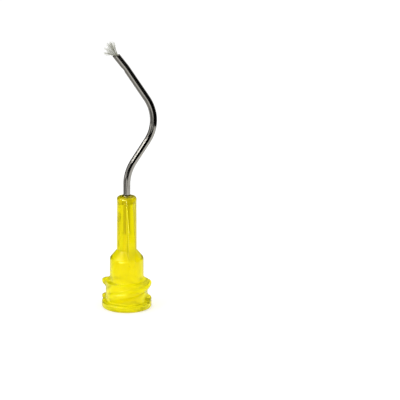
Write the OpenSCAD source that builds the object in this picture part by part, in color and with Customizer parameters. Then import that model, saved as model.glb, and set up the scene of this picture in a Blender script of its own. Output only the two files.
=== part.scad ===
// Pre-bent irrigation tip in millimetres, +Z up.
// A moulded hub with a tapered socket and a lock thread carries a bonded steel cannula, bent to an S
// in the XZ plane, and a tuft of fibres is staked in the cannula's far end.
// The origin is the centre of the socket's mouth, on the rim that the tip stands on.

/* [Rim and lock thread] */
// Diameter of the rim that the tip stands on
rim_d = 7.7; // [7.4:0.05:7.9]
// Height of the rim
rim_h = 1.05; // [0.8:0.05:1.4]
// Radius of the rim's rounded edges
rim_round = 0.28; // [0.1:0.02:0.34]
// Diameter at the foot of the thread
root_d = 6.5; // [6.2:0.05:6.8]
// Height of the threaded base, up to where it meets the body
root_h = 4.25; // [3.85:0.05:4.7]
// Fall of the base's sloped top face
root_slope = 0.15; // [0.1:0.05:0.4]
// Diameter over the thread's crests
crest_d = 7.8; // [7.4:0.05:8]
// Rise of one thread start in a full turn
thread_lead = 5; // [4.5:0.1:5.5]
// Number of thread starts
thread_starts = 2; // [1:1:2]
// Width of a thread ridge at its crest
ridge_crest_w = 0.8; // [0.5:0.05:1]
// Width of a ridge's steep flank, on the side of the body
ridge_upper_w = 0.2; // [0.1:0.05:0.5]
// Width of a ridge's long flank, on the side of the rim
ridge_lower_w = 1.35; // [1:0.05:1.6]
// Direction in which the first ridge ends
ridge_end_angle = 184; // [0:1:360]
// Turn in which a ridge fades in or out
ridge_fade_angle = 16; // [12:1:30]
// Turn in which the ridges are left out along the mould's parting, at right angles to the wings
parting_gap_angle = 27; // [16:1:40]

/* [Body and barrel] */
// Diameter at the foot of the body
body_d = 5.26; // [5.1:0.02:5.6]
// Height of the body between the base and the shoulder
body_h = 3.6; // [3:0.05:4.2]
// Height of the shoulder
shoulder_h = 1.3; // [1:0.05:1.7]
// Radius of the shoulder's outer edge
shoulder_round = 0.8; // [0.3:0.05:1]
// Diameter at the foot of the barrel
barrel_d = 3.08; // [2.8:0.02:3.3]
// Height of the barrel
barrel_h = 8.45; // [7.5:0.05:10]
// Radius of the barrel's top edge
nose_round = 0.38; // [0.1:0.02:0.5]
// Draft of the body and barrel for the mould, in degrees
draft_angle = 0.3; // [0:0.1:0.6]

/* [Wings] */
// Thickness of a wing
wing_t = 1.02; // [0.7:0.02:1.3]
// Height by which a wing stands proud of the body
wing_proud = 0.14; // [0.08:0.02:0.3]
// Length of wing that runs down the body below the shoulder
wing_drop = 0.85; // [0.6:0.05:1.4]
// Distance from the barrel's top to the wings
wing_nose = 1.2; // [0.5:0.05:2]
// Direction of the wings about the axis
wing_angle = 110; // [0:1:180]

/* [Socket and passage] */
// Diameter of the socket at its mouth
socket_d = 4.3; // [4.2:0.02:4.4]
// Length of the straight land inside the mouth
socket_land = 0.8; // [0.6:0.05:1.2]
// Fall in diameter for each millimetre of depth
socket_taper_ratio = 0.06; // [0.04:0.005:0.08]
// Diameter of the passage above the socket's roof
passage_d = 1.4; // [1.1:0.05:1.7]
// Diameter of the throat that the cannula stops against
throat_d = 0.74; // [0.6:0.02:0.9]

/* [Cannula] */
// Outer diameter of the cannula
tube_od = 1.07; // [0.9:0.01:1.2]
// Wall of the cannula
tube_wall = 0.19; // [0.12:0.01:0.22]
// Length of cannula inside the hub
insert_depth = 5.75; // [4:0.05:6.5]
// Straight length between the hub and the first bend
lead_out = 1.75; // [1:0.05:4]
// Centre line radius of the first bend
bend_1_r = 7; // [4:0.1:10]
// Turn of the first bend, in degrees
bend_1_angle = 32; // [10:1:60]
// Straight length between the bends
mid_len = 3.9; // [1:0.1:8]
// Centre line radius of the second bend
bend_2_r = 6; // [4:0.1:10]
// Turn of the second bend, back past the axis, in degrees
bend_2_angle = 66; // [10:1:90]
// Straight length from the second bend to the cut end
end_len = 8; // [5:0.1:12]

/* [Bond] */
// Clearance between the cannula and its bore in the hub
bore_gap = 0.03; // [0.02:0.01:0.08]
// Diameter of the adhesive well in the barrel's top
well_d = 1.7; // [1.5:0.05:2]
// Depth of the adhesive well
well_depth = 1.15; // [0.4:0.05:1.6]
// Height to which the adhesive climbs the cannula
bead_h = 0.3; // [0.1:0.05:0.6]

/* [Fibres] */
// Diameter of one fibre
fibre_d = 0.07; // [0.05:0.005:0.1]
// Spacing left between neighbouring fibres
fibre_gap = 0.003; // [0.002:0.001:0.01]
// Length of fibre held behind the stake
fibre_tail = 0.1; // [0.05:0.05:0.2]
// Length of fibre beyond the cannula's end
fibre_len = 2; // [1.2:0.1:3]
// Turn of the outermost fibres away from the middle of the tuft, in degrees
splay_angle = 62; // [20:1:70]
// Turn of the tuft's middle away from the cannula's line, on the stake's side, in degrees
lean_angle = 8; // [0:1:20]
// Depth of the stake that pinches the fibres
stake_depth = 0.15; // [0.08:0.01:0.2]
// Radius of the punch that makes the stake
stake_r = 0.7; // [0.4:0.05:1]
// Distance of the stake from the cannula's end
stake_back = 2.4; // [1.6:0.1:2.8]
// Turn that the stake leaves in the cannula, in degrees
kink_angle = 4.5; // [1:0.5:7]

/* [Hidden] */
$fn = 96;

hub_yellow = [0.93, 0.87, 0.10];
steel_grey = [0.66, 0.65, 0.62];
bond_straw = [0.86, 0.82, 0.42];
fibre_white = [0.93, 0.93, 0.90];

// Small overlap that keeps a cut or a joined piece clear of the face it passes
over = 0.2;
// Step by which the shoulder's arc is set out, so that it meets both faces at a small angle
corner_bite = 0.004;

shoulder_z = root_h + body_h;
barrel_z = shoulder_z + shoulder_h;
hub_h = barrel_z + barrel_h;
body_r = body_d / 2;
body_top_r = body_r - body_h * tan(draft_angle);
barrel_r = barrel_d / 2;
barrel_top_r = barrel_r - barrel_h * tan(draft_angle);
root_r = root_d / 2;
crest_r = crest_d / 2;

// The ridges start in the rim and end with their crest at the base's top. Their foot lies inside the body's wall.
ridge_inset = 0.05;
ridge_sink = 0.1;
ridge_foot_r = body_r - ridge_sink;
ridge_start_z = rim_h + 2 * ridge_inset;
ridge_end_z = root_h - ridge_inset;
ridge_turn_angle = 360 * (ridge_end_z - ridge_start_z) / thread_lead;
ridge_start_angle = ridge_end_angle - ridge_turn_angle;
ridge_step_angle = 5;
ridge_sections = ceil((ridge_turn_angle + ridge_fade_angle) / ridge_step_angle);
ridge_least_share = 0.04;
ridge_edge_share = 0.94;
parting_angle = wing_angle - 90;

wing_r = body_r + wing_proud;
wing_top_z = hub_h - wing_nose;
wing_foot_z = shoulder_z - wing_drop;
wing_rise = wing_top_z - barrel_z;
wing_fall = wing_r - barrel_top_r;
wing_arc_r = (wing_fall * wing_fall + wing_rise * wing_rise) / (2 * wing_fall);

socket_top_d = socket_d - socket_taper_ratio * (shoulder_z - socket_land);
tube_r = tube_od / 2;
lumen_r = tube_r - tube_wall;
bore_r = tube_r + bore_gap;
tube_foot_z = hub_h - insert_depth;
well_foot_z = hub_h - well_depth;
bead_lip = 0.02;

// The fibres fill what the stake leaves of the lumen, in a hexagonal pack.
pack_r = lumen_r - stake_depth / 2;
pack_pitch = fibre_d + fibre_gap;
fibre_grip = stake_back + fibre_tail;
pack_rings = floor((pack_r - fibre_d / 2 - fibre_gap) / pack_pitch);
splay_lead = 0.12;
fibre_uneven_share = 0.18;
splay_uneven_share = 0.1;
straight_below_angle = 0.5;

// Gap that a ball bridges between a straight bar and a bend, and the ball's size against the bar's
joint_gap = 0.01;
joint_swell_ratio = 1.004;

// A square from the axis out to r, between two heights, with both outer corners rounded.
module rounded_band(r, z0, z1, round) {
    translate([0, z0]) square([r - round, z1 - z0]);
    translate([0, z0 + round]) square([r, z1 - z0 - 2 * round]);
    for (z = [z0 + round, z1 - round])
        translate([r - round, z]) circle(r = round);
}

// Half section of the hub's outside, without its thread and wings.
module hub_outline() {
    rounded_band(rim_d / 2, 0, rim_h, rim_round);
    polygon([[0, 0], [root_r, rim_h / 2], [root_r, root_h - root_slope], [body_r, root_h], [0, root_h]]);
    difference() {
        polygon([
            [0, root_h - over], [body_r, root_h - over], [body_r, root_h], [body_top_r, shoulder_z],
            [barrel_r, barrel_z], [barrel_top_r, hub_h], [0, hub_h]
        ]);
        shoulder_corner();
        translate([barrel_top_r - nose_round, hub_h - nose_round])
            difference() {
                square(nose_round + over);
                circle(r = nose_round);
            }
    }
}

// What the rounding of the shoulder's outer edge takes off: a wedge from the arc's centre, less the arc's disc.
module shoulder_corner() {
    slope = atan2(body_top_r - barrel_r, shoulder_h);
    reach = shoulder_round * tan(slope / 2);
    far = 2 * shoulder_round;
    translate([body_top_r - shoulder_round, shoulder_z - reach])
        translate(corner_bite * [cos(slope / 2), sin(slope / 2)])
            difference() {
                polygon([[0, 0], [far, 0], far * [cos(slope), sin(slope)]]);
                circle(r = shoulder_round);
            }
}

// The way through the hub: land, tapered socket, roof, narrowing passage, cannula bore and adhesive well.
module hub_way() {
    translate([0, 0, -over]) cylinder(d = socket_d, h = socket_land + over);
    rotate_extrude()
        polygon([
            [0, socket_land - over / 2], [socket_d / 2, socket_land - over / 2], [socket_d / 2, socket_land],
            [socket_top_d / 2, shoulder_z], [passage_d / 2, barrel_z], [throat_d / 2, tube_foot_z],
            [throat_d / 2, tube_foot_z + over], [0, tube_foot_z + over]
        ]);
    translate([0, 0, tube_foot_z]) cylinder(r = bore_r, h = insert_depth + over);
    translate([0, 0, well_foot_z]) cylinder(d = well_d, h = well_depth + over);
}

// Angle between a direction and the nearer side of the mould's parting.
function from_parting(a) = abs(a - parting_angle - 180 * round((a - parting_angle) / 180));

// Share of the ridge's full height at an angle along it: it fades at both ends and at the mould's parting.
function ridge_share(a) =
    let(to_end = ridge_turn_angle + ridge_fade_angle - a)
    let(to_gap = from_parting(a + ridge_start_angle) - parting_gap_angle / 2)
    max(ridge_least_share, sin(90 * max(0, min(1, min(a, to_end, to_gap) / ridge_fade_angle))));

// Section of a ridge as pairs of height across and share of the crest's reach, foot to foot.
ridge_section = [
    [-ridge_crest_w / 2 - ridge_lower_w, 0], [-ridge_crest_w / 2, ridge_edge_share], [-ridge_crest_w / 4, 1],
    [ridge_crest_w / 4, 1], [ridge_crest_w / 2, ridge_edge_share], [ridge_crest_w / 2 + ridge_upper_w, 0]
];

// A point of the ridge's section p at angle a along the ridge, never below the rim.
function ridge_point(a, p) =
    let(r = ridge_foot_r + (crest_r - ridge_foot_r) * p[1] * ridge_share(a))
    let(z = ridge_start_z + thread_lead * min(a, ridge_turn_angle) / 360 + p[0])
    [r * cos(a), r * sin(a), max(ridge_inset, z)];

// One helical thread ridge, swept along its start from angle zero.
module thread_ridge() {
    n = len(ridge_section);
    angles = [for (i = [0 : ridge_sections]) (ridge_turn_angle + ridge_fade_angle) * i / ridge_sections];
    points = [for (a = angles, p = ridge_section) ridge_point(a, p)];
    skin = [
        for (i = [0 : ridge_sections - 1], k = [0 : n - 1])
            let(j = (k + 1) % n)
            each [
                [i * n + k, (i + 1) * n + j, (i + 1) * n + k],
                [i * n + k, i * n + j, (i + 1) * n + j]
            ]
    ];
    first = [for (k = [n - 1 : -1 : 0]) k];
    last = [for (k = [0 : n - 1]) ridge_sections * n + k];
    polyhedron(points = points, faces = concat(skin, [first, last]));
}

// Both wings in one plate: the crest's arc seen from the side, and the round foot seen from the front.
module wings() {
    rotate([0, 0, wing_angle])
        intersection() {
            translate([0, wing_r, 0])
                rotate([90, 0, 0])
                    linear_extrude(2 * wing_r)
                        wing_side();
            translate([-2 * wing_r, 0, 0])
                rotate([90, 0, 90])
                    linear_extrude(4 * wing_r)
                        wing_front();
        }
}

module wing_side() {
    for (side = [0, 1])
        mirror([side, 0])
            union() {
                translate([0, wing_foot_z]) square([wing_r, barrel_z - wing_foot_z]);
                intersection() {
                    translate([0, barrel_z]) square([wing_r, wing_rise]);
                    translate([wing_r - wing_arc_r, barrel_z]) circle(r = wing_arc_r);
                }
            }
}

module wing_front() {
    translate([-wing_t / 2, wing_foot_z + wing_t / 2]) square([wing_t, wing_top_z - wing_foot_z]);
    translate([0, wing_foot_z + wing_t / 2]) circle(d = wing_t);
}

module hub() {
    color(hub_yellow)
        difference() {
            union() {
                rotate_extrude() hub_outline();
                wings();
                for (i = [0 : thread_starts - 1])
                    rotate([0, 0, ridge_start_angle + 360 * i / thread_starts])
                        thread_ridge();
            }
            hub_way();
        }
}

// A bend of a round bar: it starts at the origin along +Z and turns towards +X.
module bend(r, angle, bar_r) {
    translate([r, 0, 0])
        rotate([90, 0, 180])
            rotate_extrude(angle = angle)
                translate([r, 0])
                    circle(r = bar_r);
}

// Places its children at the start of the straight between the bends, along its line.
module at_mid_straight() {
    translate([bend_1_r * (1 - cos(bend_1_angle)), 0, hub_h + lead_out + bend_1_r * sin(bend_1_angle)])
        rotate([0, bend_1_angle, 0])
            children();
}

// Places its children at the start of the straight end of the cannula, along its line.
module at_last_straight() {
    at_mid_straight()
        translate([-bend_2_r * (1 - cos(bend_2_angle)), 0, mid_len + bend_2_r * sin(bend_2_angle)])
            rotate([0, -bend_2_angle, 0])
                children();
}

// Places its children at the stake, along the line of the cannula's end past it.
module at_staked_end() {
    at_last_straight()
        translate([0, 0, end_len - stake_back])
            rotate([0, -kink_angle, 0])
                children();
}

// A ball that joins a straight bar to a bend: it is a hair wider than the bar, so that they fuse cleanly.
module ball_joint(bar_r) {
    sphere(r = bar_r * joint_swell_ratio);
}

// A round bar along the cannula's path, run past its ends by extra.
module cannula_bar(bar_r, extra) {
    translate([0, 0, tube_foot_z - extra])
        cylinder(r = bar_r, h = insert_depth + lead_out + extra - joint_gap);
    translate([0, 0, hub_h + lead_out]) {
        ball_joint(bar_r);
        bend(bend_1_r, bend_1_angle, bar_r);
    }
    at_mid_straight() {
        ball_joint(bar_r);
        translate([0, 0, joint_gap]) cylinder(r = bar_r, h = mid_len - 2 * joint_gap);
        translate([0, 0, mid_len]) {
            ball_joint(bar_r);
            rotate([0, 0, 180]) bend(bend_2_r, bend_2_angle, bar_r);
        }
    }
    at_last_straight() {
        ball_joint(bar_r);
        translate([0, 0, joint_gap]) cylinder(r = bar_r, h = end_len - stake_back - 2 * joint_gap);
    }
    at_staked_end() {
        ball_joint(bar_r);
        translate([0, 0, joint_gap]) cylinder(r = bar_r, h = stake_back + extra - joint_gap);
    }
}

// The punch that stakes the cannula, grown by the wall for the bulge that it leaves inside.
module stake(grow) {
    at_staked_end()
        translate([-tube_r - stake_r + stake_depth, 0, 0])
            sphere(r = stake_r + grow);
}

module cannula() {
    color(steel_grey)
        difference() {
            cannula_bar(tube_r, 0);
            difference() {
                cannula_bar(lumen_r, over);
                stake(tube_wall);
            }
            stake(0);
        }
}

// A ring that fills the well and climbs the cannula in a hollow curve.
module adhesive() {
    well_r = well_d / 2;
    lip_r = tube_r + bead_lip;
    climb = well_r - lip_r;
    color(bond_straw)
        rotate_extrude()
            difference() {
                translate([tube_r, well_foot_z]) square([well_r - tube_r, well_depth + bead_h]);
                translate([(lip_r + well_r + bead_h * sqrt(3)) / 2, hub_h + (bead_h + climb * sqrt(3)) / 2])
                    circle(r = norm([climb, bead_h]));
            }
}

// A value from 0 to 1 that looks unordered, the same at each run.
function scatter(i) =
    let(s = sin(i * 78.233 + 12.9) * 437.585)
    s - floor(s);

// Places of the fibres in the pack as points in units of its pitch, ring by ring.
fibre_places = concat(
    [[0, 0]],
    [for (k = [1 : pack_rings], i = [0 : 6 * k - 1]) k * [cos(60 * i / k), sin(60 * i / k)]]
);

// Turn of fibre i, as a vector across the cannula: outwards with its place in the pack, plus the lean.
function fibre_turn(i) =
    let(uneven = 1 - splay_uneven_share * scatter(i + len(fibre_places)))
    fibre_places[i] * splay_angle / max(1, pack_rings) * uneven - [lean_angle, 0];

// One fibre: straight in the cannula and just past its end, then an arc towards its turn.
module fibre(place, length, turn) {
    straight = fibre_grip + splay_lead;
    translate([place[0] * pack_pitch, place[1] * pack_pitch, -fibre_grip])
        rotate([0, 0, atan2(turn[1], turn[0])])
            if (norm(turn) > straight_below_angle) {
                cylinder(d = fibre_d, h = straight - joint_gap);
                translate([0, 0, straight]) {
                    ball_joint(fibre_d / 2);
                    bend((length - splay_lead) * 180 / (PI * norm(turn)), norm(turn), fibre_d / 2);
                }
            }
            else
                cylinder(d = fibre_d, h = fibre_grip + length);
}

module brush_fibres() {
    color(fibre_white)
        at_staked_end()
            translate([stake_depth / 2, 0, stake_back])
                for (i = [0 : len(fibre_places) - 1])
                    fibre(fibre_places[i], fibre_len * (1 - fibre_uneven_share * scatter(i)), fibre_turn(i));
}

hub();
cannula();
adhesive();
brush_fibres();
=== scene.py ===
"""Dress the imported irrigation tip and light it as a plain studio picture.

Sizes are in millimetres until a mesh is made. Every object is then in metres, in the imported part's own
frame.
"""
import logging
import math
from dataclasses import dataclass
from enum import Enum
from typing import Sequence

import bpy
import numpy as np
from mathutils import Matrix, Vector


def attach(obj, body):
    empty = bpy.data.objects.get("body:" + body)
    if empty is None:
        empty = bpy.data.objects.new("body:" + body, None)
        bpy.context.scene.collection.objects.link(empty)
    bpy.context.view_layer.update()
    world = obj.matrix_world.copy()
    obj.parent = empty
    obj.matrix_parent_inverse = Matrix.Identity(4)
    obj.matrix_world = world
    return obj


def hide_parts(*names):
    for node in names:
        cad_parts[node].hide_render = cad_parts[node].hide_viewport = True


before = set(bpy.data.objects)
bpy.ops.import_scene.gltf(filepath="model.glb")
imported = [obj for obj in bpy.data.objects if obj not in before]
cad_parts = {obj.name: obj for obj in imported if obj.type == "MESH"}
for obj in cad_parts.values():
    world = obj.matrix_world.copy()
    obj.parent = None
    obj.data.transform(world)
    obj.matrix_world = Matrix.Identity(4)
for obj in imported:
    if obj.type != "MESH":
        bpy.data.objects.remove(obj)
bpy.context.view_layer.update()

MM = 0.001
ROOT = "root"
FULL_TURN = 2 * math.pi
WHITE = (1.0, 1.0, 1.0)

log = logging.getLogger("irrigation_tip")


class Node(Enum):
    """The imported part's nodes."""

    HUB = "hub"
    CANNULA = "cannula"
    ADHESIVE = "adhesive"
    FIBRES = "brush_fibres"


class Slot(Enum):
    """The record's material slots."""

    PLASTIC = "hub_plastic"
    STEEL = "cannula_steel"
    RESIN = "bond_resin"
    FIBRE = "fibre_white"


def smooth_max(a: np.ndarray, b: np.ndarray, width: float) -> np.ndarray:
    """Take the larger of two fields and fill the crease between them.

    Formula: the larger value plus width / 4 times the square of a share, which falls from 1 where the
    fields are equal to 0 where they are width apart.

    Args:
        a: first field.
        b: second field.
        width: difference of the fields at which the filling ends.

    Returns:
        The joined field.
    """
    share = np.clip(1 - np.abs(a - b) / width, 0, None)
    return np.maximum(a, b) + share**2 * width / 4


def smooth_min(a: np.ndarray, b: np.ndarray, width: float) -> np.ndarray:
    """Take the smaller of two fields and round the edge between them, as smooth_max does for the larger."""
    return -smooth_max(-a, -b, width)


def ease(x: np.ndarray) -> np.ndarray:
    """Go from 0 to 1 with level ends: 3 x squared less 2 x cubed, with x held between 0 and 1."""
    x = np.clip(x, 0, 1)
    return x * x * (3 - 2 * x)


@dataclass(frozen=True)
class Corner:
    """A corner of a profile: its two coordinates and the radius of its rounding."""

    a: float
    b: float
    round: float = 0.0


def corner_arc(before: np.ndarray, here: np.ndarray, after: np.ndarray, radius: float,
               count: int) -> np.ndarray:
    """Turn a corner into an arc.

    Formula: an arc of radius q in a corner of half angle h touches both sides at q / tan(h) from the
    corner, and its points swing about the centre in equal steps from one touching point to the other.

    Args:
        before: point before the corner.
        here: the corner.
        after: point after the corner.
        radius: radius of the arc, or 0 for a sharp corner.
        count: number of points on the arc.

    Returns:
        Points of the arc, or the corner alone.
    """
    if radius == 0:
        return here[None]
    u = (before - here) / np.linalg.norm(before - here)
    v = (after - here) / np.linalg.norm(after - here)
    half = math.acos(float(np.clip(u @ v, -1, 1))) / 2
    reach = radius / math.tan(half)
    middle = here + (u + v) / np.linalg.norm(u + v) * radius / math.sin(half)
    swing = math.pi - 2 * half
    t = np.linspace(0, 1, count)[:, None]
    first = here + u * reach - middle
    last = here + v * reach - middle
    return middle + (np.sin((1 - t) * swing) * first + np.sin(t * swing) * last) / math.sin(swing)


def rounded_path(corners: Sequence[Corner], steps: Sequence[float], arc_count: int) -> np.ndarray:
    """Walk from the first corner to the last, with an arc at each corner between and evenly spaced rows.

    Args:
        corners: the corners in order.
        steps: greatest distance between rows on the line after each corner but the last.
        arc_count: number of rows on an arc.

    Returns:
        The rows as pairs of coordinates, without the last corner.
    """
    places = np.array([[c.a, c.b] for c in corners])
    rows = []
    here = places[0]
    for i, step in enumerate(steps, 1):
        last = i == len(steps)
        arc = places[i][None] if last else corner_arc(
            places[i - 1], places[i], places[i + 1], corners[i].round, arc_count
        )
        count = max(1, math.ceil(np.linalg.norm(arc[0] - here) / step))
        rows.append(here + (arc[0] - here) * np.arange(count)[:, None] / count)
        rows.append(arc[:-1])
        here = arc[-1]
    return np.concatenate(rows)


def turned(r: np.ndarray, z: np.ndarray, angle: np.ndarray) -> np.ndarray:
    """Turn a profile about the upright axis.

    Formula: a point lies at r times the cosine and the sine of its angle, at the height z.

    Args:
        r: radius of each row, or of each point of each row.
        z: height of each row.
        angle: direction of each column.

    Returns:
        The points, row by row.
    """
    return np.stack([r * np.cos(angle), r * np.sin(angle), z + 0 * angle], -1).reshape(-1, 3)


def even_angles(columns: int) -> np.ndarray:
    """Return the directions of a number of columns, evenly spread over a full turn, as one row."""
    return np.arange(columns)[None] * FULL_TURN / columns


def faces_of_grid(rows: int, columns: int) -> np.ndarray:
    """List the four-sided faces of a grid that closes on itself both ways.

    Args:
        rows: number of rows.
        columns: number of points in a row.

    Returns:
        Vertex numbers, four to a face.
    """
    i, j = np.indices((rows, columns))
    below = (i + 1) % rows
    beside = (j + 1) % columns
    corners = [i * columns + j, below * columns + j, below * columns + beside, i * columns + beside]
    return np.stack(corners, -1).reshape(-1, 4)


def outward(points: np.ndarray, faces: np.ndarray) -> np.ndarray:
    """Turn all faces round if together they enclose a negative volume.

    Formula: the volume is the sum over the faces of a . (b x c) + a . (c x d), divided by 6.

    Args:
        points: vertices.
        faces: vertex numbers, four to a face.

    Returns:
        The faces, all looking out.
    """
    a, b, c, d = (points[faces[:, k]] for k in range(4))
    volume = np.einsum("ij,ij->", a, np.cross(b, c)) + np.einsum("ij,ij->", a, np.cross(c, d))
    return faces if volume > 0 else faces[:, ::-1]


@dataclass
class Skin:
    """A surface in millimetres, ready to become one piece.

    Attributes:
        name: name of the piece.
        points: vertices.
        faces: vertex numbers of each face.
        marks: further values of each vertex, by name, for the finish to read.
    """

    name: str
    points: np.ndarray
    faces: list
    marks: dict[str, np.ndarray]

    @classmethod
    def closed(cls, name: str, points: np.ndarray, rows: int, marks: dict[str, np.ndarray]) -> "Skin":
        """Make a skin of a grid of points that closes on itself both ways.

        Args:
            name: name of the piece.
            points: vertices, row by row.
            rows: number of rows.
            marks: further values of each vertex, by name.

        Returns:
            The skin, with its faces looking out.
        """
        faces = outward(points, faces_of_grid(rows, len(points) // rows))
        return cls(name, points, faces.tolist(), marks)

    def make(self, material: bpy.types.Material, node: Node, slot: Slot) -> bpy.types.Object:
        """Make the mesh, dress it and put it in the frame in place of a node.

        Args:
            material: its finish.
            node: node that it stands for.
            slot: slot that its finish belongs to; not used.

        Returns:
            The new object.
        """
        mesh = bpy.data.meshes.new(self.name)
        mesh.from_pydata(self.points * MM, [], self.faces)
        for name, values in self.marks.items():
            kind = "FLOAT" if values.ndim == 1 else "FLOAT_VECTOR"
            field = "value" if values.ndim == 1 else "vector"
            mark = mesh.attributes.new(name, kind, "POINT")
            mark.data.foreach_set(field, values.astype(np.float32).ravel())
        mesh.polygons.foreach_set("use_smooth", np.ones(len(mesh.polygons), dtype=bool))
        mesh.materials.append(material)
        mesh.update()
        piece = bpy.data.objects.new(self.name, mesh)
        bpy.context.scene.collection.objects.link(piece)
        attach(piece, ROOT)
        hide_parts(node.value)
        log.info("%s: %d faces", self.name, len(mesh.polygons))
        return piece


class NodeGraph:
    """A material's or the world's node tree, with short ways to add and join nodes."""

    def __init__(self, tree: bpy.types.NodeTree) -> None:
        """Start from an empty tree."""
        tree.nodes.clear()
        self.tree = tree

    def add(self, kind: str, **inputs: object) -> bpy.types.Node:
        """Add a node and set its inputs.

        Args:
            kind: Blender's name of the node, without the ShaderNode in front.
            inputs: value or output socket for each input, by name with underscores for spaces.

        Returns:
            The node.
        """
        node = self.tree.nodes.new("ShaderNode" + kind)
        for name, value in inputs.items():
            self.feed(node.inputs[name.replace("_", " ")], value)
        return node

    def feed(self, socket: bpy.types.NodeSocket, value: object) -> None:
        """Set a socket to a value, or link it to another node's output.

        Args:
            socket: the input.
            value: a number, a colour or an output socket.
        """
        if isinstance(value, bpy.types.NodeSocket):
            self.tree.links.new(value, socket)
        else:
            socket.default_value = value

    def mark(self, name: str, output: str = "Fac") -> bpy.types.NodeSocket:
        """Read one of the marks of the surface.

        Args:
            name: name of the mark.
            output: Fac for a number, or Vector.

        Returns:
            The mark's value.
        """
        node = self.add("Attribute")
        node.attribute_name = name
        return node.outputs[output]

    def math(self, operation: str, a: object, b: object) -> bpy.types.NodeSocket:
        """Join two values by a math node.

        Args:
            operation: Blender's name of the operation.
            a: first number or output socket.
            b: second number or output socket.

        Returns:
            The result.
        """
        node = self.tree.nodes.new("ShaderNodeMath")
        node.operation = operation
        self.feed(node.inputs[0], a)
        self.feed(node.inputs[1], b)
        return node.outputs[0]

    def remap(self, value: bpy.types.NodeSocket, low: float, high: float, start: float = 0.3,
              end: float = 0.7) -> bpy.types.NodeSocket:
        """Spread the part of a value between start and end over low to high.

        Args:
            value: the value, such as a noise.
            low: result at start and before it.
            high: result at end and past it.
            start: lower end of the part that is used.
            end: upper end of the part that is used.

        Returns:
            The new value.
        """
        node = self.tree.nodes.new("ShaderNodeMapRange")
        for socket, number in zip(node.inputs[1:5], (start, end, low, high)):
            socket.default_value = number
        self.tree.links.new(value, node.inputs[0])
        return node.outputs[0]

    def blend(self, share: bpy.types.NodeSocket, first: object, second: tuple) -> bpy.types.NodeSocket:
        """Mix two colours.

        Args:
            share: share of the second colour.
            first: first colour, fixed or from a node.
            second: second colour.

        Returns:
            The mixed colour.
        """
        node = self.tree.nodes.new("ShaderNodeMix")
        node.data_type = "RGBA"
        # Inputs 6 and 7 and output 2 are the node's colours.
        self.tree.links.new(share, node.inputs[0])
        self.feed(node.inputs[6], (*first, 1) if isinstance(first, tuple) else first)
        node.inputs[7].default_value = (*second, 1)
        return node.outputs[2]

    def noise(self, place: bpy.types.NodeSocket, grain: tuple, detail: float = 2.0) -> bpy.types.NodeSocket:
        """Add a noise with its grain per unit of place along each axis and return its value."""
        mapping = self.add("Mapping", Vector=place, Scale=grain)
        return self.add("TexNoise", Vector=mapping.outputs[0], Scale=1.0, Detail=detail).outputs[0]

    def seen_or_refracted(self) -> bpy.types.NodeSocket:
        """Return 1 for rays of the camera and of refractions, and 0 for reflections and the light's own."""
        path = self.add("LightPath").outputs
        return self.math("MAXIMUM", path["Is Camera Ray"], path["Is Transmission Ray"])


def new_material(name: str) -> tuple[bpy.types.Material, NodeGraph]:
    """Make an empty material.

    Args:
        name: its name.

    Returns:
        The material and its graph.
    """
    material = bpy.data.materials.new(name)
    material.use_nodes = True
    return material, NodeGraph(material.node_tree)


@dataclass(frozen=True)
class HubPlastic:
    """Translucent yellow moulding, deeper in tone up the hub.

    It has soft flow clouds, and a glossy skin with mould marks. The heights, the reach of the milk and the
    depth of the relief are in metres.
    """

    light: tuple = (0.985, 0.885, 0.005)
    deep: tuple = (0.79, 0.69, 0.003)
    gloss: tuple = (1.0, 0.95, 0.16)
    shine: float = 0.4
    clear: float = 0.6
    milk: float = 0.6
    milk_tint: tuple = (1.0, 0.9, 0.1)
    milk_reach: float = 0.002
    index: float = 1.49
    body_z: tuple = (0.0045, 0.0075)
    body_share: float = 0.6
    barrel_z: tuple = (0.0085, 0.0125)
    barrel_share: float = 0.2
    cloud_grain: tuple = (700.0, 700.0, 280.0)
    cloud_share: float = 0.25
    skin_grain: tuple = (5200.0, 5200.0, 5200.0)
    skin_detail: float = 3.0
    rough: tuple = (0.09, 0.18)
    relief: float = 0.06
    relief_depth: float = 0.00003
    coat: float = 0.15
    coat_rough: float = 0.04
    mark: str = "inside"

    def material(self) -> bpy.types.Material:
        """Build the finish.

        Light passes the inner walls freely and the outer skin by the share that is clear.

        Returns:
            The material.
        """
        material, g = new_material("hub_plastic_yellow")
        place = g.add("TexCoord").outputs["Object"]
        cloud = g.noise(place, self.cloud_grain)
        height = g.add("SeparateXYZ", Vector=place).outputs["Z"]
        body = g.remap(height, 0, self.body_share, *self.body_z)
        barrel = g.remap(height, 0, self.barrel_share, *self.barrel_z)
        inner = g.mark(self.mark)
        outer = g.remap(inner, 1, 0, 0, 1)
        tone = g.math("ADD", g.remap(cloud, 0, self.cloud_share), g.math("ADD", body, barrel))
        skin = g.noise(place, self.skin_grain, self.skin_detail)
        bump = g.add("Bump", Strength=self.relief, Distance=self.relief_depth, Height=skin)
        leaving = g.math("MAXIMUM", g.add("NewGeometry").outputs["Backfacing"], inner)
        shader = g.add(
            "BsdfPrincipled",
            Base_Color=g.blend(g.math("MULTIPLY", tone, outer), self.light, self.deep),
            Roughness=g.remap(skin, *self.rough),
            IOR=self.index,
            Normal=bump.outputs[0],
            Transmission_Weight=g.math("MAXIMUM", leaving, self.clear),
            Specular_IOR_Level=self.shine,
            Specular_Tint=(*self.gloss, 1),
            Subsurface_Weight=self.milk,
            Subsurface_Radius=self.milk_tint,
            Subsurface_Scale=self.milk_reach,
            Coat_Weight=self.coat,
            Coat_Roughness=self.coat_rough,
        )
        g.add("OutputMaterial", Surface=shader.outputs[0])
        return material


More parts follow.
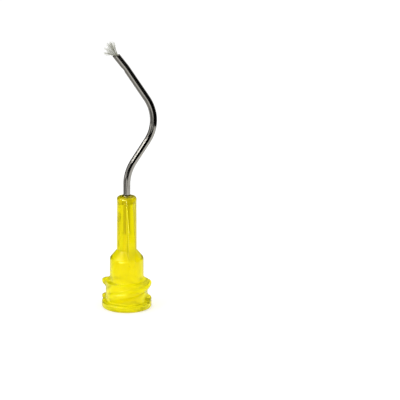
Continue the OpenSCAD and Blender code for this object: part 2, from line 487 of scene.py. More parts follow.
@dataclass(frozen=True)
class DrawnSteel:
    """Bright drawn tube: long fine marks along it in tone, roughness and relief, with painted shade in the
    lumen and on the cut end.

    The grains are per millimetre across and along the tube, and the depth of the relief is in metres.
    """

    light: tuple = (0.53, 0.51, 0.46)
    deep: tuple = (0.43, 0.41, 0.365)
    # painted shade: near-black colour for the lumen and the cut end
    painted_end_shade: tuple = (0.10, 0.095, 0.08)
    fine_grain: tuple = (16.0, 16.0, 0.12)
    fine_detail: float = 3.0
    broad_grain: tuple = (4.0, 4.0, 0.5)
    rough: tuple = (0.06, 0.11)
    relief: float = 0.08
    relief_depth: float = 0.00001
    mark: str = "drawn"
    cut_mark: str = "cut"

    def material(self) -> bpy.types.Material:
        """Build the finish.

        Returns:
            The material.
        """
        material, g = new_material("cannula_steel_drawn")
        along = g.mark(self.mark, "Vector")
        # mask of the lumen and the cut end, which get the painted shade
        cut = g.mark(self.cut_mark)
        fine = g.noise(along, self.fine_grain, self.fine_detail)
        broad = g.noise(along, self.broad_grain)
        drawn = g.blend(g.remap(fine, 0, 1), self.deep, self.light)
        bump = g.add("Bump", Strength=self.relief, Distance=self.relief_depth, Height=fine)
        shader = g.add(
            "BsdfPrincipled",
            # painted shade: the lumen and the cut end take a near-black colour and a near-black reflection
            # tint
            Base_Color=g.blend(cut, drawn, self.painted_end_shade),
            Metallic=1.0,
            Specular_Tint=g.blend(cut, WHITE, self.painted_end_shade),
            Roughness=g.remap(broad, *self.rough),
            Normal=bump.outputs[0],
        )
        g.add("OutputMaterial", Surface=shader.outputs[0])
        return material


@dataclass(frozen=True)
class BondResin:
    """Clear straw-coloured resin with fine clouding."""

    light: tuple = (0.96, 0.92, 0.40)
    deep: tuple = (0.90, 0.84, 0.28)
    cloud_grain: tuple = (2600.0, 2600.0, 2600.0)
    cloud_detail: float = 3.0
    rough: tuple = (0.06, 0.16)
    index: float = 1.5
    clear: float = 1.0

    def material(self) -> bpy.types.Material:
        """Build the finish.

        Returns:
            The material.
        """
        material, g = new_material("bond_resin_clear")
        place = g.add("TexCoord").outputs["Object"]
        cloud = g.noise(place, self.cloud_grain, self.cloud_detail)
        shader = g.add(
            "BsdfPrincipled",
            Base_Color=g.blend(g.remap(cloud, 0, 1), self.light, self.deep),
            Roughness=g.remap(cloud, *self.rough),
            IOR=self.index,
            Transmission_Weight=self.clear,
        )
        g.add("OutputMaterial", Surface=shader.outputs[0])
        return material


@dataclass(frozen=True)
class BristleFibre:
    """Off-white bristle: each fibre has its own tone, with painted shade at its root by the tube's mouth,
    and fine specks along it.
    """

    light: tuple = (0.97, 0.975, 0.93)
    # deep serves both as the darker fibres' own tone and as the painted shade at the roots
    deep: tuple = (0.42, 0.42, 0.33)
    speck_grain: tuple = (9000.0, 9000.0, 9000.0)
    speck_share: float = 0.15
    rough: tuple = (0.4, 0.6)
    index: float = 1.5
    clear: float = 0.1
    mark: str = "tone"

    def material(self) -> bpy.types.Material:
        """Build the finish.

        Returns:
            The material.
        """
        material, g = new_material("bristle_off_white")
        place = g.add("TexCoord").outputs["Object"]
        speck = g.noise(place, self.speck_grain)
        share = g.math("ADD", g.mark(self.mark), g.remap(speck, -self.speck_share, self.speck_share))
        shader = g.add(
            "BsdfPrincipled",
            Base_Color=g.blend(share, self.deep, self.light),
            Roughness=g.remap(speck, *self.rough),
            IOR=self.index,
            Transmission_Weight=self.clear,
        )
        g.add("OutputMaterial", Surface=shader.outputs[0])
        return material


@dataclass
class Hub:
    """The yellow moulding: rim, lock thread, body, shoulder, barrel and wings around the liquid's way.

    The fields repeat the part's sizes in millimetres, and the angles are in degrees. After them come the
    widths over which creases and edges are rounded, and the spacing of the surface's rows and columns.
    """

    rim_r: float = 3.85
    rim_h: float = 1.05
    rim_round: float = 0.28
    rim_slope: float = 0.04
    root_r: float = 3.25
    root_h: float = 4.25
    root_slope: float = 0.15
    root_round: float = 0.08
    foot_fillet: float = 0.1
    crest_r: float = 3.9
    thread_lead: float = 5.0
    thread_starts: int = 2
    ridge_crest_w: float = 0.8
    ridge_upper_w: float = 0.25
    ridge_lower_w: float = 1.35
    ridge_foot_r: float = 2.53
    ridge_start_z: float = 1.15
    ridge_end_z: float = 4.2
    ridge_end_angle: float = 184.0
    ridge_fade_angle: float = 16.0
    parting_angle: float = 20.0
    parting_gap_angle: float = 27.0
    body_r: float = 2.63
    body_top_r: float = 2.611
    shoulder_z: float = 7.85
    shoulder_round: float = 0.8
    barrel_z: float = 9.15
    barrel_r: float = 1.54
    barrel_top_r: float = 1.496
    barrel_fillet: float = 0.2
    height: float = 17.6
    nose_round: float = 0.38
    wing_t: float = 1.02
    wing_proud: float = 0.14
    wing_drop: float = 0.85
    wing_nose: float = 1.2
    wing_angle: float = 110.0
    socket_r: float = 2.15
    socket_land: float = 0.8
    socket_top_r: float = 1.939
    mouth_round: float = 0.1
    roof_round: float = 0.25
    passage_r: float = 0.7
    passage_round: float = 0.3
    throat_r: float = 0.37
    tube_foot_z: float = 11.85
    bore_r: float = 0.565
    well_r: float = 0.85
    well_foot_z: float = 16.45
    well_round: float = 0.04
    well_edge_round: float = 0.05
    crease: float = 0.3
    wing_crease: float = 0.45
    edge: float = 0.12
    wing_edge: float = 0.4
    ridge_edge: float = 0.3
    ridge_round: float = 0.4
    underside_flat: float = 0.2
    top_flat: float = 0.1
    outer_steps: tuple = (0.3, 0.12, 0.08, 0.058, 0.08, 0.085, 0.11, 0.16, 0.15)
    outer_arc_rows: int = 8
    inner_steps: tuple = (0.1, 0.2, 0.1, 0.4, 0.1, 0.3, 0.2, 0.3, 0.2, 0.1)
    inner_arc_rows: int = 6
    columns: int = 290
    wing_columns: float = 2.5
    wing_spread: float = 0.3

    def outside(self) -> np.ndarray:
        """Return the rows of the outer profile from the underside to the top, as radius and height."""
        return rounded_path([
            Corner(self.socket_r + self.underside_flat, 0),
            Corner(self.rim_r, 0, self.rim_round),
            Corner(self.rim_r, self.rim_h, self.rim_round),
            Corner(self.root_r, self.rim_h + self.rim_slope, self.foot_fillet),
            Corner(self.root_r, self.root_h - self.root_slope, self.root_round),
            Corner(self.body_r, self.root_h, self.foot_fillet),
            Corner(self.body_top_r, self.shoulder_z, self.shoulder_round),
            Corner(self.barrel_r, self.barrel_z, self.barrel_fillet),
            Corner(self.barrel_top_r, self.height, self.nose_round),
            Corner(self.well_r + self.top_flat, self.height),
        ], self.outer_steps, self.outer_arc_rows)

    def inside(self) -> np.ndarray:
        """Return the rows of the way through the hub from the top down, as radius and height."""
        return rounded_path([
            Corner(self.well_r + self.top_flat, self.height),
            Corner(self.well_r, self.height, self.well_edge_round),
            Corner(self.well_r, self.well_foot_z, self.well_round),
            Corner(self.bore_r, self.well_foot_z, self.well_round),
            Corner(self.bore_r, self.tube_foot_z),
            Corner(self.throat_r, self.tube_foot_z),
            Corner(self.passage_r, self.barrel_z, self.passage_round),
            Corner(self.socket_top_r, self.shoulder_z, self.roof_round),
            Corner(self.socket_r, self.socket_land),
            Corner(self.socket_r, 0, self.mouth_round),
            Corner(self.socket_r + self.underside_flat, 0),
        ], self.inner_steps, self.inner_arc_rows)

    def angles(self) -> np.ndarray:
        """Set the columns closer together on the wings.

        Formula: the columns are even in the running sum of a weight, which is 1 plus a hump at each wing.

        Returns:
            The directions of the columns.
        """
        samples = 7200
        fine = np.linspace(0, FULL_TURN, samples)
        weight = 1 + self.wing_columns * np.exp(-((self.from_wing(fine) / self.wing_spread) ** 2))
        total = np.cumsum(weight)
        total = (total - total[0]) / (total[-1] - total[0])
        return np.interp(np.arange(self.columns) / self.columns, total, fine)

    def from_wing(self, angle: np.ndarray) -> np.ndarray:
        """Return the angle from the nearest of the two wings, which stand half a turn apart."""
        quarter = math.pi / 2
        return np.mod(angle - math.radians(self.wing_angle) + quarter, math.pi) - quarter

    def ridge_reach(self, angle: np.ndarray, z: np.ndarray) -> np.ndarray:
        """Find how far out the thread's ridges reach.

        Formula: each ridge climbs its lead in a turn. Across the ridge its reach is the least of the crest
        and two straight flanks, with the edges rounded and the upper one as a quarter circle. Along it the
        height rises and falls as a sine at both ends and on both sides of the mould's parting. The flat
        underside has no ridge.

        Args:
            angle: directions.
            z: heights.

        Returns:
            The reach from the axis, or 0 where there is no ridge.
        """
        turn = 360 * (self.ridge_end_z - self.ridge_start_z) / self.thread_lead
        height = self.crest_r - self.ridge_foot_r
        way = np.degrees(angle)
        from_parting = np.abs(np.mod(way - self.parting_angle + 90, 180) - 90)
        reach = np.zeros(np.broadcast_shapes(angle.shape, z.shape))
        for i in range(self.thread_starts):
            a = np.mod(way - self.ridge_end_angle + turn - 360 * i / self.thread_starts, 360)
            across = z - self.ridge_start_z - self.thread_lead * np.minimum(a, turn) / 360
            upper = height * (1 - (across - self.ridge_crest_w / 2) / self.ridge_upper_w)
            lower = height * (1 + (across + self.ridge_crest_w / 2) / self.ridge_lower_w)
            past = np.clip((across - self.ridge_crest_w / 2) / self.ridge_round + 1, 0, 1)
            crest = height - self.ridge_round * (1 - np.sqrt(1 - past**2))
            section = smooth_min(smooth_min(upper, lower, self.edge), crest, self.ridge_edge)
            run = np.minimum(np.minimum(a, turn + self.ridge_fade_angle - a),
                             from_parting - self.parting_gap_angle / 2)
            share = np.sin(np.clip(run / self.ridge_fade_angle, 0, 1) * math.pi / 2)
            rise = section * share
            reach = np.maximum(reach, np.where((rise > 0) & (z > 0), self.ridge_foot_r + rise, 0))
        return reach

    def wing_reach(self, angle: np.ndarray, z: np.ndarray) -> np.ndarray:
        """Find how far out the wings reach.

        Formula: a wing is a plate through the axis. A direction at an angle from it leaves it through the
        crest at crest / cos(angle), or through the side at half the thickness / sin(angle), whichever is
        nearer. The crest is upright up to the barrel and an arc above it, and the foot is a half circle.

        Args:
            angle: directions.
            z: heights.

        Returns:
            The reach from the axis, or 0 where there is no wing.
        """
        least_cos, least_sin = 0.1, 1e-3
        half = self.wing_t / 2
        crest = self.body_r + self.wing_proud
        top = self.height - self.wing_nose
        fall = crest - self.barrel_top_r
        rise = top - self.barrel_z
        arc_r = (fall**2 + rise**2) / (2 * fall)
        above = np.clip(z - self.barrel_z, 0, None)
        crest_at = crest - arc_r + np.sqrt(arc_r**2 - above**2)
        middle = self.shoulder_z - self.wing_drop + half
        side_at = np.sqrt(np.clip(half**2 - np.clip(middle - z, 0, None) ** 2, 0, None))
        lean = np.abs(self.from_wing(angle))
        through_crest = crest_at / np.maximum(np.cos(lean), least_cos)
        through_side = side_at / np.maximum(np.sin(lean), least_sin)
        reach = smooth_min(through_crest, through_side, self.wing_edge)
        return np.where((side_at > 0) & (z < self.height - self.nose_round), reach, 0)

    def skin(self) -> Skin:
        """Join the outer profile with its ridges and wings to the way through the hub.

        Returns:
            The hub's whole surface.
        """
        outer, inner = self.outside(), self.inside()
        angle = self.angles()[None]
        z = outer[:, 1:]
        reach = smooth_max(outer[:, :1] + 0 * angle, self.ridge_reach(angle, z), self.crease)
        reach = smooth_max(reach, self.wing_reach(angle, z), self.wing_crease)
        way = inner[:, :1] + 0 * angle
        points = turned(np.concatenate([reach, way]), np.concatenate([z, inner[:, 1:]]), angle)
        inside = np.concatenate([np.zeros_like(reach), np.ones_like(way)]).ravel()
        return Skin.closed("hub_moulding", points, len(outer) + len(inner), {HubPlastic.mark: inside})

    def build(self) -> bpy.types.Object:
        """Make the hub."""
        return self.skin().make(HubPlastic().material(), Node.HUB, Slot.PLASTIC)


@dataclass
class Cannula:
    """The bent tube: two bends in one plane, a stake near its end and a slanted cut with deburred edges.

    The fields are in millimetres and degrees. After the part's sizes come the slant of the cut, the
    rounding of the dent's edge, the length of the cut end that gets painted shade, and the spacing of the
    surface's rows and columns.
    """

    foot_z: float = 11.85
    tube_r: float = 0.535
    lumen_r: float = 0.345
    first_straight: float = 7.5
    bend_1_r: float = 7.0
    bend_1_angle: float = 32.0
    mid_len: float = 3.9
    bend_2_r: float = 6.0
    bend_2_angle: float = 66.0
    end_len: float = 8.0
    stake_back: float = 2.4
    kink_angle: float = 4.5
    kink_len: float = 0.6
    stake_depth: float = 0.15
    stake_r: float = 0.7
    cut_round: float = 0.04
    cut_slant: float = 0.4
    slant_len: float = 1.2
    dent_edge: float = 0.05
    # length of the cut end that gets painted shade
    shaded_cut_len: float = 0.03
    steps: tuple = (0.1, 0.11, 0.05, 0.16, 0.1)
    arc_rows: int = 5
    columns: int = 56

    @property
    def length(self) -> float:
        """Length of the centre line: its straights, and the angle times the radius of each bend."""
        first, second = math.radians(self.bend_1_angle), math.radians(self.bend_2_angle)
        bends = first * self.bend_1_r + second * self.bend_2_r
        return self.first_straight + bends + self.mid_len + self.end_len

    def lean(self, s: np.ndarray) -> np.ndarray:
        """Find the centre line's angle from upright, towards +X.

        Formula: each bend adds distance / radius, from its start to its full angle. The second turns back,
        and the kink at the stake eases in the same way as the second.

        Args:
            s: distances along the centre line.

        Returns:
            The angles.
        """
        first, second = math.radians(self.bend_1_angle), math.radians(self.bend_2_angle)
        second_start = self.first_straight + first * self.bend_1_r + self.mid_len
        out = np.clip((s - self.first_straight) / self.bend_1_r, 0, first)
        back = np.clip((s - second_start) / self.bend_2_r, 0, second)
        kink = ease((s - self.length + self.stake_back) / self.kink_len + 0.5)
        return out - back - kink * math.radians(self.kink_angle)

    def centre(self, s: np.ndarray) -> np.ndarray:
        """Find points of the centre line.

        Formula: the running sum of small steps along its direction.

        Args:
            s: distances along the centre line.

        Returns:
            The points.
        """
        samples = 6001
        fine = np.linspace(0, self.length, samples)
        lean = self.lean((fine[1:] + fine[:-1]) / 2)
        step = fine[1] - fine[0]
        x = np.concatenate([[0], np.cumsum(np.sin(lean) * step)])
        z = np.concatenate([[0], np.cumsum(np.cos(lean) * step)]) + self.foot_z
        return np.stack([np.interp(s, fine, x), np.zeros_like(s), np.interp(s, fine, z)], -1)

    def dent(self, s: np.ndarray, angle: np.ndarray, grow: float) -> np.ndarray:
        """Find the distance from the centre line at which the stake's round punch is met.

        Formula: the punch is a ball beside the tube. A direction meets it where the square of the distance
        to the ball's middle equals the square of its radius. Elsewhere the result is far out.

        Args:
            s: distances along the centre line.
            angle: directions about it.
            grow: how much larger the ball is taken, for the inner wall.

        Returns:
            The distances.
        """
        far_out = 9.0
        ball = self.stake_r + grow
        far = self.tube_r + self.stake_r - self.stake_depth
        along = s - (self.length - self.stake_back)
        towards = -np.cos(angle)
        root = ball**2 - along**2 - far**2 * (1 - towards**2)
        met = (root > 0) & (towards > 0)
        return np.where(met, far * towards - np.sqrt(np.clip(root, 0, None)), far_out)

    def skin(self) -> Skin:
        """Join the outer wall, the cut end, the inner wall and the end in the hub.

        Formula: near the cut the rows slide back along the tube by slant times the place across it, which
        eases in over a short length, so the cut lies slanted.

        Returns:
            The tube's whole surface.
        """
        middle = (self.tube_r + self.lumen_r) / 2
        loop = rounded_path([
            Corner(0, middle),
            Corner(0, self.tube_r, self.cut_round),
            Corner(self.length, self.tube_r, self.cut_round),
            Corner(self.length, self.lumen_r, self.cut_round),
            Corner(0, self.lumen_r, self.cut_round),
            Corner(0, middle),
        ], self.steps, self.arc_rows)
        angle = even_angles(self.columns)
        s, r = loop[:, :1], loop[:, 1:]
        wall = self.tube_r - self.lumen_r
        outer = smooth_min(r + 0 * angle, self.dent(s, angle, 0), self.dent_edge)
        inner = smooth_min(r + 0 * angle, self.dent(s, angle, wall), self.dent_edge)
        reach = np.where(r > middle, outer, inner)
        lean = self.lean(loop[:, 0])[:, None]
        side, depth = reach * np.cos(angle), reach * np.sin(angle)
        slant = ease((s - self.length) / self.slant_len + 1) * self.cut_slant * side
        offset = np.stack([side * np.cos(lean) - slant * np.sin(lean), depth,
                           -side * np.sin(lean) - slant * np.cos(lean)], -1)
        points = (self.centre(loop[:, 0])[:, None] + offset).reshape(-1, 3)
        drawn = np.stack([side, depth, s + 0 * angle], -1).reshape(-1, 3)
        # painted shade mask: the inner wall and the last bit of the cut end, which the steel material
        # paints near black
        cut = ((s > self.length - self.shaded_cut_len) | (r < middle)) + 0 * angle
        marks = {DrawnSteel.mark: drawn, DrawnSteel.cut_mark: cut.ravel()}
        return Skin.closed("cannula_tube", points, len(loop), marks)

    def build(self) -> bpy.types.Object:
        """Make the cannula."""
        return self.skin().make(DrawnSteel().material(), Node.CANNULA, Slot.STEEL)


@dataclass
class Bond:
    """The ring of adhesive in the hub's well, which climbs the tube in a hollow curve."""

    tube_r: float = 0.53
    lip_r: float = 0.555
    well_r: float = 0.858
    foot_z: float = 16.44
    top_z: float = 17.6
    climb: float = 0.3
    top_rows: int = 14
    wall_rows: int = 7
    columns: int = 96

    def skin(self) -> Skin:
        """Turn a closed profile about the axis.

        Formula: the hollow top is an arc that bulges towards the well's corner, drawn as a quarter of an
        ellipse between the well's edge and the tube.

        Returns:
            The ring's surface.
        """
        swing = np.linspace(0, math.pi / 2, self.top_rows)
        top_r = self.well_r - (self.well_r - self.lip_r) * np.sin(swing)
        top_z = self.top_z + self.climb * (1 - np.cos(swing))
        wall = np.linspace(self.foot_z, self.top_z, self.wall_rows + 1)[:-1]
        r = np.concatenate([[self.tube_r], np.full(self.wall_rows, self.well_r), top_r, [self.tube_r]])
        z = np.concatenate([[self.foot_z], wall, top_z, [self.top_z + self.climb]])
        points = turned(r[:, None], z[:, None], even_angles(self.columns))
        return Skin.closed("bond_bead", points, len(r), {})

    def build(self) -> bpy.types.Object:
        """Make the bond."""
        return self.skin().make(BondResin().material(), Node.ADHESIVE, Slot.RESIN)


@dataclass
class Tuft:
    """The fibres in the tube's end: a loose fan of locks that leans to one side, with uneven ends.

    Attributes:
        tube: the cannula that holds them.
        count: number of fibres, about.
        thick: radius of a fibre at its root.
        thinning: share of that radius that is lost at the tip.
        inside: how deep a fibre reaches into the tube.
        grip_share: width of the bundle in the tube as a share of its width at the mouth.
        grip_shift: how far the stake's dent pushes the bundle aside.
        bundle_r: radius of the bundle at the mouth.
        place_spread: spread of the roots of a lock across the mouth.
        place_limit: share of the bundle's radius that the roots keep within.
        fan: factor on all the angles below and on the locks' leans.
        lean_spread: spread of a lock's leans in degrees.
        depth_spread: spread of the leans to the front and back in degrees.
        turn_power: how soon a fibre turns to its lean.
        least_len: length of the shortest fibre of a lock as a share of the longest.
        wave: size of the slow wave in radians.
        wave_rates: least and greatest rate of the wave over a fibre.
        wave_starts: greatest start of the wave.
        root_shade_len: length past the tube's mouth over which a fibre's painted shade at the root fades
            out.
        tone_spread: spread of the fibres' tones.
        rings: number of circles outside the tube.
        sides: number of points on a circle.
        seed: start of the random draws.
    """

    tube: Cannula
    count: int = 175
    thick: float = 0.021
    thinning: float = 0.45
    inside: float = 2.2
    grip_share: float = 0.7
    grip_shift: float = 0.07
    bundle_r: float = 0.32
    place_spread: float = 0.04
    place_limit: float = 0.97
    fan: float = 1.2
    lean_spread: float = 3.6
    depth_spread: float = 15.0
    turn_power: int = 5
    least_len: float = 0.82
    wave: float = 0.09
    wave_rates: tuple = (4, 8)
    wave_starts: float = 6.0
    root_shade_len: float = 0.6
    tone_spread: float = 0.2
    rings: int = 12
    sides: int = 6
    seed: int = 11

    def locks(self) -> np.ndarray:
        """List the fan's locks.

        Returns:
            Rows of five numbers: the lean from the tube's line in degrees, the share of the fibres, the
            length, the place of the root across the tube, and the tone.
        """
        return np.array([
            [-21, 0.05, 1.35, 0.27, 0.55],
            [-20, 0.12, 2.20, 0.20, 0.72],
            [-13, 0.19, 2.30, 0.12, 0.3],
            [-2, 0.18, 2.45, 0.03, 0.7],
            [8, 0.14, 1.85, -0.05, 0.85],
            [14, 0.12, 2.20, -0.13, 0.8],
            [22, 0.09, 1.50, -0.19, 0.7],
            [32, 0.13, 1.90, -0.25, 0.45],
        ])

    def lines(self, draw: np.random.Generator, lock: np.ndarray) -> np.ndarray:
        """Draw the fibres' centre lines.

        Formula: a fibre starts straight inside the tube and turns away from the tube's line just past the
        mouth, with a slow random wave. Its points are the running sum of small steps along its direction.

        Args:
            draw: source of the random draws.
            lock: the row of its lock for each fibre.

        Returns:
            Points of each fibre: across the tube's end, behind it and along it.
        """
        n = len(lock)
        lean = np.radians(lock[:, 0] + draw.normal(0, self.lean_spread, n)) * self.fan
        depth = np.radians(draw.normal(0, self.depth_spread, n)) * self.fan
        length = lock[:, 2] * draw.uniform(self.least_len, 1.0, n)
        limit = self.place_limit * self.bundle_r
        across = np.clip(lock[:, 3] + draw.normal(0, self.place_spread, n), -limit, limit)
        behind = np.sqrt(self.bundle_r**2 - across**2) * draw.uniform(-1, 1, n)
        root = np.stack([across, behind], -1)
        u = np.linspace(0, 1, self.rings)
        turn = 1 - (1 - u) ** self.turn_power
        swing = draw.normal(0, self.wave, (n, 1))
        rate = draw.uniform(*self.wave_rates, (n, 1))
        wave = swing * np.sin(u * rate + draw.uniform(0, self.wave_starts, (n, 1)))
        left = lean[:, None] * turn + wave * u
        away = depth[:, None] * turn + wave * u
        tiny = 1e-9
        bend = np.sqrt(left**2 + away**2) + tiny
        step = length[:, None] / (self.rings - 1)
        flat = np.sin(bend) / bend * step
        along = np.cumsum(np.cos(bend) * step, 1) - np.cos(bend[:, :1]) * step
        side = -np.cumsum(left * flat, 1) + left[:, :1] * flat[:, :1] + root[:, :1]
        back = np.cumsum(away * flat, 1) - away[:, :1] * flat[:, :1] + root[:, 1:]
        grip = np.full((n, 1), -self.inside)
        along = np.concatenate([grip, along], 1)
        side = np.concatenate([root[:, :1] * self.grip_share + self.grip_shift, side], 1)
        back = np.concatenate([root[:, 1:] * self.grip_share, back], 1)
        return np.stack([side, back, along], -1)

    def circles(self, line: np.ndarray) -> np.ndarray:
        """Stand a circle across each fibre at each of its points, smaller towards the tip.

        Args:
            line: points of the fibres' centre lines.

        Returns:
            Points of the circles, fibre by fibre, in the frame of the tube's end.
        """
        run = np.gradient(line, axis=1)
        run /= np.linalg.norm(run, axis=-1, keepdims=True)
        beside = np.cross(run, np.array([0.0, 1.0, 0.0]))
        beside /= np.linalg.norm(beside, axis=-1, keepdims=True)
        other = np.cross(run, beside)
        ring = even_angles(self.sides)[0]
        u = np.linspace(0, 1, self.rings)
        taper = self.thick * np.concatenate([[1], 1 - self.thinning * u**3])[None, :, None, None]
        circle = beside[:, :, None] * np.cos(ring)[:, None] + other[:, :, None] * np.sin(ring)[:, None]
        return (line[:, :, None] + circle * taper).reshape(-1, 3)

    def at_mouth(self, local: np.ndarray) -> np.ndarray:
        """Move points from the frame of the tube's end to the part's frame.

        Args:
            local: points across the tube's end, behind it and along it.

        Returns:
            The points in the part's frame.
        """
        end = np.array([self.tube.length])
        lean = float(self.tube.lean(end)[0])
        x = local[:, 0] * math.cos(lean) + local[:, 2] * math.sin(lean)
        z = -local[:, 0] * math.sin(lean) + local[:, 2] * math.cos(lean)
        return np.stack([x, local[:, 1], z], -1) + self.tube.centre(end)[0]

    def bars(self, count: int) -> list:
        """List the faces of a number of bars: rings joined by four-sided faces, and a face over each end.

        Args:
            count: number of bars.

        Returns:
            Vertex numbers of each face.
        """
        rows, sides = self.rings + 1, self.sides
        bar, ring, side = np.indices((count, rows - 1, sides))
        first = (bar * rows + ring) * sides
        beside = (side + 1) % sides
        walls = np.stack([first + side, first + beside, first + sides + beside, first + sides + side], -1)
        starts = np.arange(count)[:, None] * rows * sides + np.arange(sides)[::-1]
        ends = np.arange(count)[:, None] * rows * sides + (rows - 1) * sides + np.arange(sides)
        return walls.reshape(-1, 4).tolist() + starts.tolist() + ends.tolist()

    def skin(self) -> Skin:
        """Make all the fibres as thin round bars with closed ends.

        Returns:
            The tuft's surface.
        """
        draw = np.random.default_rng(self.seed)
        locks = self.locks()
        lock = np.repeat(locks, np.round(locks[:, 1] * self.count).astype(int), axis=0)
        line = self.lines(draw, lock)
        tone = (lock[:, 4] + draw.normal(0, self.tone_spread, len(lock)))[:, None]
        # painted shade: a fibre is darkest inside the tube and at its mouth, and lightens over a short
        # length past it
        tone = tone - np.clip(1 - line[:, :, 2] / self.root_shade_len, 0, 1)
        points = self.at_mouth(self.circles(line))
        marks = {BristleFibre.mark: np.repeat(tone.ravel(), self.sides)}
        return Skin("fibre_tuft", points, self.bars(len(lock)), marks)

    def build(self) -> bpy.types.Object:
        """Make the tuft."""
        return self.skin().make(BristleFibre().material(), Node.FIBRES, Slot.FIBRE)


def sheet(name: str, corners: np.ndarray, material: bpy.types.Material) -> bpy.types.Object:
    """Make a flat four-cornered thing of the studio.

    Args:
        name: its name.
        corners: its corners in millimetres.
        material: its finish.

    Returns:
        The new object.
    """
    mesh = bpy.data.meshes.new(name)
    mesh.from_pydata(corners * MM, [], [[0, 1, 2, 3]])
    mesh.materials.append(material)
    flat = bpy.data.objects.new(name, mesh)
    bpy.context.scene.collection.objects.link(flat)
    return flat


@dataclass(frozen=True)
class Card:
    """A card or panel of light that only reflections see, as used beside bright metal.

    Attributes:
        name: name of the card.
        tone: its grey, or above 1 the strength of its light.
        corner: its first corner in millimetres.
        across: its first side.
        up: its second side.
    """

    name: str
    tone: float
    corner: tuple
    across: tuple
    up: tuple

    def build(self) -> bpy.types.Object:
        """Make the card, seen by reflections alone.

        Returns:
            The card.
        """
        material, g = new_material(self.name)
        if self.tone > 1:
            shader = g.add("Emission", Color=(*WHITE, 1), Strength=self.tone)
        else:
            shader = g.add("BsdfDiffuse", Color=(self.tone, self.tone, self.tone, 1))
        g.add("OutputMaterial", Surface=shader.outputs[0])
        a, u, v = (np.array(side, dtype=float) for side in (self.corner, self.across, self.up))
        card = sheet(self.name, np.stack([a, a + u, a + u + v, a + v]), material)
        for ray in ("camera", "diffuse", "transmission", "volume_scatter", "shadow"):
            setattr(card, "visible_" + ray, False)
        return card


@dataclass(frozen=True)
class Lamp:
    """A soft square lamp that looks at a point of the tip.

    Attributes:
        name: name of the lamp.
        place: where it stands, in millimetres.
        target: what it looks at, in millimetres.
        width: its width in millimetres.
        height: its height in millimetres.
        power: its power in watts.
    """

    name: str
    place: tuple
    target: tuple
    width: float
    height: float
    power: float

    def build(self) -> None:
        """Make the lamp."""
        data = bpy.data.lights.new(self.name, "AREA")
        data.shape = "RECTANGLE"
        data.size = self.width * MM
        data.size_y = self.height * MM
        data.energy = self.power
        lamp = bpy.data.objects.new(self.name, data)
        way = Vector(self.target) - Vector(self.place)
        turn = way.to_track_quat("-Z", "Y").to_matrix().to_4x4()
        lamp.matrix_world = Matrix.Translation(Vector(self.place) * MM) @ turn
        bpy.context.scene.collection.objects.link(lamp)


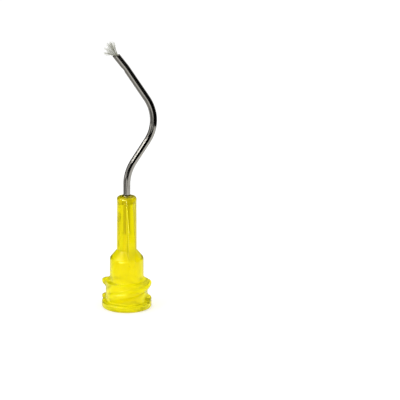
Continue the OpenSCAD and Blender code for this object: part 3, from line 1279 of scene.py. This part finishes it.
@dataclass
class Studio:
    """White floor and surround, soft lamps, cards and panels for the reflections, and the camera.

    Attributes:
        scale: pixels to a millimetre at the origin.
        distance: how far the camera stands from the origin, in millimetres.
        origin_px: where the origin lies in the picture.
        frame_px: size of the picture.
        tilt_at_origin: angle in degrees at which the camera looks down on the origin.
        roll: turn of the camera about its view, in degrees.
        sensor: width of the camera's sensor in millimetres.
        near: distance in millimetres at which the camera begins to see.
        ambient: strength of the surround.
        mirrored: its strength in reflections.
        floor_tone: grey of the floor.
        floor_rough: roughness of the floor.
        floor_glow: what lifts the floor to white to the eye.
        floor_reach: half the floor's width in millimetres.
        floor_z: height of the floor in millimetres.
        lamps: the soft lamps.
        cards: the cards and the panel that all pieces reflect.
        wing_panel: the panel that only the hub reflects.
    """

    scale: float = 6.44
    distance: float = 300.0
    origin_px: tuple = (126.75, 305.72)
    frame_px: float = 400.0
    tilt_at_origin: float = 18.0
    roll: float = 0.58
    sensor: float = 36.0
    near: float = 10.0
    ambient: float = 0.92
    mirrored: float = 0.5
    floor_tone: float = 0.7
    floor_rough: float = 0.9
    floor_glow: float = 0.4
    floor_reach: float = 4000.0
    floor_z: float = -0.02
    lamps: tuple = (
        Lamp("key_left", (-222, -209, 75), (0, 0, 25), 45, 190, 0.14),
        Lamp("high_left", (-200, -90, 240), (0, 0, 10), 200, 200, 0.12),
        Lamp("fill_right", (220, -240, 260), (0, 0, 15), 220, 220, 0.15),
    )
    cards: tuple = (
        Card("card_front", 0.005, (18, -95, 0), (122, 0, 0), (0, 0, 135)),
        Card("card_right", 0.005, (140, -95, 0), (0, 190, 0), (0, 0, 152)),
        Card("card_back_left", 0.005, (-220, 62, 0), (225, 0, 0), (0, 0, 130)),
        Card("card_back_right", 0.005, (5, 62, 0), (215, 0, 0), (0, 0, 25)),
        Card("card_slot", 0.005, (-5.8, -12, 18.5), (17, 0, -3.5), (2.8, 0, 8.2)),
        Card("card_low_front", 0.005, (-2, -78, 0), (35, 0, 0), (0, 0, 14)),
        Card("card_low_mid", 0.005, (52, -110, 0.3), (23, 0, 0), (0, 60, 0)),
        Card("card_low_right", 0.005, (75, -110, 0.3), (65, 0, 0), (0, 170, 0)),
        Card("card_left", 0.3, (-50, -58, 0.4), (30, 0, 0), (0, 78, 0)),
        Card("card_far_left", 0.16, (-200, -180, 0.3), (166, 0, 0), (0, 200, 0)),
        Card("card_low", 0.3, (-26, -74, 0.3), (34, 0, 0), (0, 16, 0)),
        Card("panel_shoulder", 5.0, (-61, -199, 146), (-160, 163, -50), (22, 56, 66)),
    )
    wing_panel: Card = Card("panel_wing", 15.0, (-202, -147, 0.5), (202, -103, 0), (0, 0, 62))

    def camera(self) -> None:
        """Set the camera so that the tip stands in the frame as it was measured.

        Formula: the focal length in pixels is scale times distance. The camera stands back from the origin
        along its view, moved sideways and up by the origin's distance from the middle of the frame.
        """
        focal = self.scale * self.distance
        dx = self.frame_px / 2 - self.origin_px[0]
        dy = self.origin_px[1] - self.frame_px / 2
        tilt = math.radians(self.tilt_at_origin) - math.atan(dy / focal)
        roll = math.radians(self.roll)
        ahead = Vector((0, math.cos(tilt), -math.sin(tilt)))
        level = Vector((1, 0, 0))
        rise = Vector((0, math.sin(tilt), math.cos(tilt)))
        right = level * math.cos(roll) + rise * math.sin(roll)
        up = rise * math.cos(roll) - level * math.sin(roll)
        place = right * dx / self.scale + up * dy / self.scale - ahead * self.distance
        data = bpy.data.cameras.new("photo_camera")
        data.sensor_width = self.sensor
        data.lens = focal / self.frame_px * self.sensor
        data.clip_start = self.near * MM
        camera = bpy.data.objects.new("photo_camera", data)
        turn = Matrix((right, up, -ahead)).transposed().to_4x4()
        camera.matrix_world = Matrix.Translation(place * MM) @ turn
        bpy.context.scene.collection.objects.link(camera)
        bpy.context.scene.camera = camera

    def world(self) -> None:
        """Make the surround an even white light, which is dimmer in reflections."""
        world = bpy.data.worlds.new("white_surround")
        bpy.context.scene.world = world
        world.use_nodes = True
        g = NodeGraph(world.node_tree)
        path = g.add("LightPath").outputs
        reflected = g.math("SUBTRACT", path["Is Glossy Ray"], path["Is Transmission Ray"])
        strength = g.remap(reflected, self.ambient, self.mirrored, 0, 1)
        surround = g.add("Background", Color=(*WHITE, 1), Strength=strength)
        g.add("OutputWorld", Surface=surround.outputs[0])

    def floor(self) -> None:
        """Make the pale floor, which keeps the tip's shadow and is lifted to white to the eye."""
        material, g = new_material("floor_white")
        shader = g.add(
            "BsdfPrincipled",
            Base_Color=(self.floor_tone, self.floor_tone, self.floor_tone, 1),
            Roughness=self.floor_rough,
            Specular_IOR_Level=0.0,
            Emission_Color=(*WHITE, 1),
            Emission_Strength=g.math("MULTIPLY", g.seen_or_refracted(), self.floor_glow),
        )
        g.add("OutputMaterial", Surface=shader.outputs[0])
        reach, z = self.floor_reach, self.floor_z
        corners = [[-reach, -reach, z], [reach, -reach, z], [reach, reach, z], [-reach, reach, z]]
        sheet("floor", np.array(corners), material)

    def build(self) -> None:
        """Make the studio, all but the panel for the wings."""
        bpy.context.scene.view_settings.view_transform = "Standard"
        self.camera()
        self.world()
        self.floor()
        for card in self.cards:
            card.build()
        for lamp in self.lamps:
            lamp.build()

    def light_wings(self, hub: bpy.types.Object) -> None:
        """Make the panel that draws a bright line on the wings' edges, and keep it to the hub.

        Args:
            hub: the moulding that reflects it.
        """
        lit = bpy.data.collections.new("lit_by_wing_panel")
        lit.objects.link(hub)
        self.wing_panel.build().light_linking.receiver_collection = lit


def main() -> None:
    """Build the studio and the four pieces."""
    logging.basicConfig(level=logging.INFO, format="%(name)s %(message)s")
    studio = Studio()
    studio.build()
    studio.light_wings(Hub().build())
    tube = Cannula()
    tube.build()
    Bond().build()
    Tuft(tube).build()


if __name__ == "__main__":
    main()
